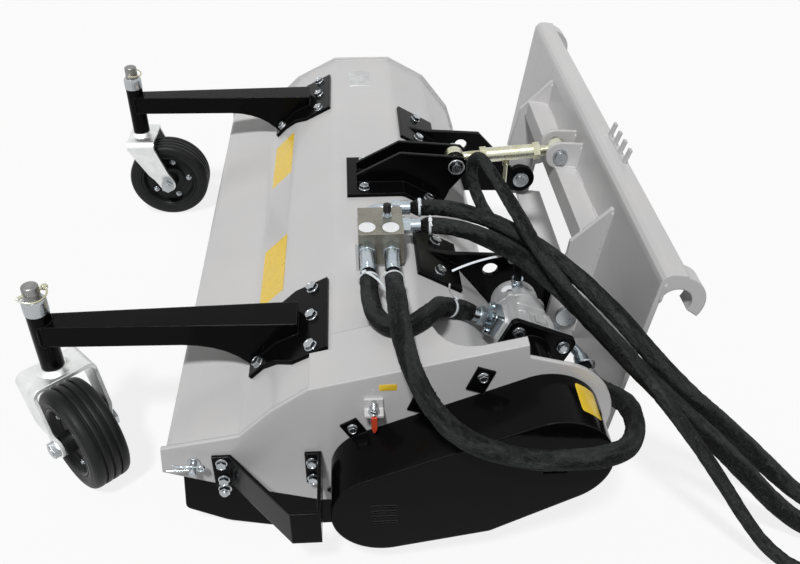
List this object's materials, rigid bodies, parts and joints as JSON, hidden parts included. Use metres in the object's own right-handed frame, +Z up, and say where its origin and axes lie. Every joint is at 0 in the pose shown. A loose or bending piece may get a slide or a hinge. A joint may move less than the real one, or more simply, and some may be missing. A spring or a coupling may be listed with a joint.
{
  "type": "flail mower",
  "caption": "Loader-mounted hydraulic flail mower: folded hood, belt-driven flail rotor, castor wheels on front arms and a hook-on hitch with a turnbuckle top link.",
  "frame": {"origin": "on the ground under the middle of the machine's outline, hoses left out", "axes": "+X along the rotor away from the belt drive, +Y the direction of travel, +Z up"},
  "size_m": [1.5895, 1.7053, 0.5133],
  "materials": {
    "grey_paint": "satin",
    "black_paint": "gloss",
    "zinc": "satin",
    "galvanised": "satin",
    "forged_steel": "matte",
    "bright_steel": "satin",
    "yellow_zinc": "satin",
    "cast_aluminium": "satin",
    "nickel": "satin",
    "tyre": "matte",
    "rim_plastic": "matte",
    "belt_rubber": "matte",
    "hose_sleeve": "matte"
  },
  "bodies": {
    "deck": {"hood": "grey_paint", "side_plate_left": "grey_paint", "side_plate_right": "grey_paint", "skid_left": "black_paint", "skid_right": "black_paint", "skid_pins": "zinc", "side_guard": "black_paint", "wheel_arm_left": "black_paint", "wheel_arm_right": "black_paint", "arm_bolts": "zinc", "rotor_bearings": "black_paint", "v_belts": "belt_rubber", "belt_guard": "black_paint", "guard_bolts": "zinc", "belt_tensioner": "zinc", "motor_mount": "black_paint", "motor_bolts": "zinc", "motor_body": "cast_aluminium", "motor_cover": "cast_aluminium", "motor_fittings": "zinc", "valve_bracket": "grey_paint", "valve_block": "nickel", "block_fittings": "zinc", "pressure_hose": "hose_sleeve", "return_hose": "hose_sleeve", "feed_hose": "hose_sleeve", "back_hose": "hose_sleeve", "drain_hose": "hose_sleeve", "hose_couplers": "zinc", "headstock_left": "black_paint", "headstock_centre": "black_paint", "headstock_right": "black_paint", "headstock_bolts": "zinc", "linkage_pins": "zinc"},
    "castor_left": {"castor_fork_left": "galvanised", "castor_collar_left": "zinc", "castor_axle_left": "zinc"},
    "wheel_left": {"wheel_rim_left": "rim_plastic", "wheel_tyre_left": "tyre"},
    "castor_right": {"castor_fork_right": "galvanised", "castor_collar_right": "zinc", "castor_axle_right": "zinc"},
    "wheel_right": {"wheel_rim_right": "rim_plastic", "wheel_tyre_right": "tyre"},
    "rotor": {"rotor": "black_paint", "flail_bolts": "forged_steel", "rotor_pulley": "forged_steel"},
    "flails_1": {"flail_row_1": "forged_steel"},
    "flails_2": {"flail_row_2": "forged_steel"},
    "flails_3": {"flail_row_3": "forged_steel"},
    "flails_4": {"flail_row_4": "forged_steel"},
    "motor_shaft": {"drive_shaft": "bright_steel", "motor_pulley": "forged_steel"},
    "hitch": {"hitch_frame": "grey_paint"},
    "link_front": {"link_front_rod": "yellow_zinc"},
    "link_sleeve": {"link_tube": "yellow_zinc"},
    "link_bail": {"link_handle": "yellow_zinc"},
    "link_rear": {"link_rear_rod": "yellow_zinc", "link_rear_pin": "zinc"}
  },
  "joints": [
    {"name": "rotor_spin", "type": "hinge", "parent": "deck", "child": "rotor", "pos_m": [0.049, -0.04988, 0.163], "axis": [1, 0, 0], "continuous": true},
    {"name": "motor_spin", "type": "hinge", "parent": "deck", "child": "motor_shaft", "pos_m": [-0.551, -0.32488, 0.27], "axis": [1, 0, 0], "continuous": true},
    {"name": "flail_swing_1", "type": "hinge", "parent": "rotor", "child": "flails_1", "pos_m": [0.049, 0.01022, 0.2231], "axis": [1, 0, 0], "range_deg": [0, 224]},
    {"name": "flail_swing_2", "type": "hinge", "parent": "rotor", "child": "flails_2", "pos_m": [0.049, -0.10998, 0.2231], "axis": [1, 0, 0], "range_deg": [-224, 0]},
    {"name": "flail_swing_3", "type": "hinge", "parent": "rotor", "child": "flails_3", "pos_m": [0.049, -0.10998, 0.1029], "axis": [1, 0, 0], "range_deg": [-157, 67]},
    {"name": "flail_swing_4", "type": "hinge", "parent": "rotor", "child": "flails_4", "pos_m": [0.049, 0.01022, 0.1029], "axis": [1, 0, 0], "range_deg": [-67, 157]},
    {"name": "castor_swivel_left", "type": "hinge", "parent": "deck", "child": "castor_left", "pos_m": [-0.419, 0.54712, 0.3], "axis": [0, 0, 1], "continuous": true},
    {"name": "wheel_spin_left", "type": "hinge", "parent": "castor_left", "child": "wheel_left", "pos_m": [-0.46136, 0.50898, 0.105], "axis": [0.6691, -0.7431, 0], "continuous": true},
    {"name": "castor_swivel_right", "type": "hinge", "parent": "deck", "child": "castor_right", "pos_m": [0.517, 0.54712, 0.3], "axis": [0, 0, 1], "continuous": true},
    {"name": "wheel_spin_right", "type": "hinge", "parent": "castor_right", "child": "wheel_right", "pos_m": [0.517, 0.49012, 0.105], "axis": [1, 0, 0], "continuous": true},
    {"name": "hitch_tilt", "type": "hinge", "parent": "deck", "child": "hitch", "pos_m": [0.049, -0.44988, 0.185], "axis": [1, 0, 0], "range_deg": [-6, 6]},
    {"name": "link_pitch", "type": "hinge", "parent": "deck", "child": "link_front", "pos_m": [0.049, -0.23988, 0.396], "axis": [1, 0, 0], "range_deg": [-1.2, 1.2]},
    {"name": "link_sleeve_travel", "type": "slide", "parent": "link_front", "child": "link_sleeve", "axis": [0, -0.9975, 0.0701], "range_m": [-0.0125, 0.0125]},
    {"name": "link_rear_travel", "type": "slide", "parent": "link_sleeve", "child": "link_rear", "axis": [0, -0.9975, 0.0701], "range_m": [-0.0125, 0.0125]},
    {"name": "link_bail_swing", "type": "hinge", "parent": "link_sleeve", "child": "link_bail", "pos_m": [0.049, -0.35621, 0.38111], "axis": [1, 0, 0], "range_deg": [-75, 75]}
  ],
  "couplings": [
    {"joint": "motor_spin", "follows": "rotor_spin", "ratio": 0.94118},
    {"joint": "link_pitch", "follows": "hitch_tilt", "ratio": 0.14802},
    {"joint": "link_sleeve_travel", "follows": "hitch_tilt", "m_per_rad": 0.1126},
    {"joint": "link_rear_travel", "follows": "hitch_tilt", "m_per_rad": 0.1126}
  ]
}
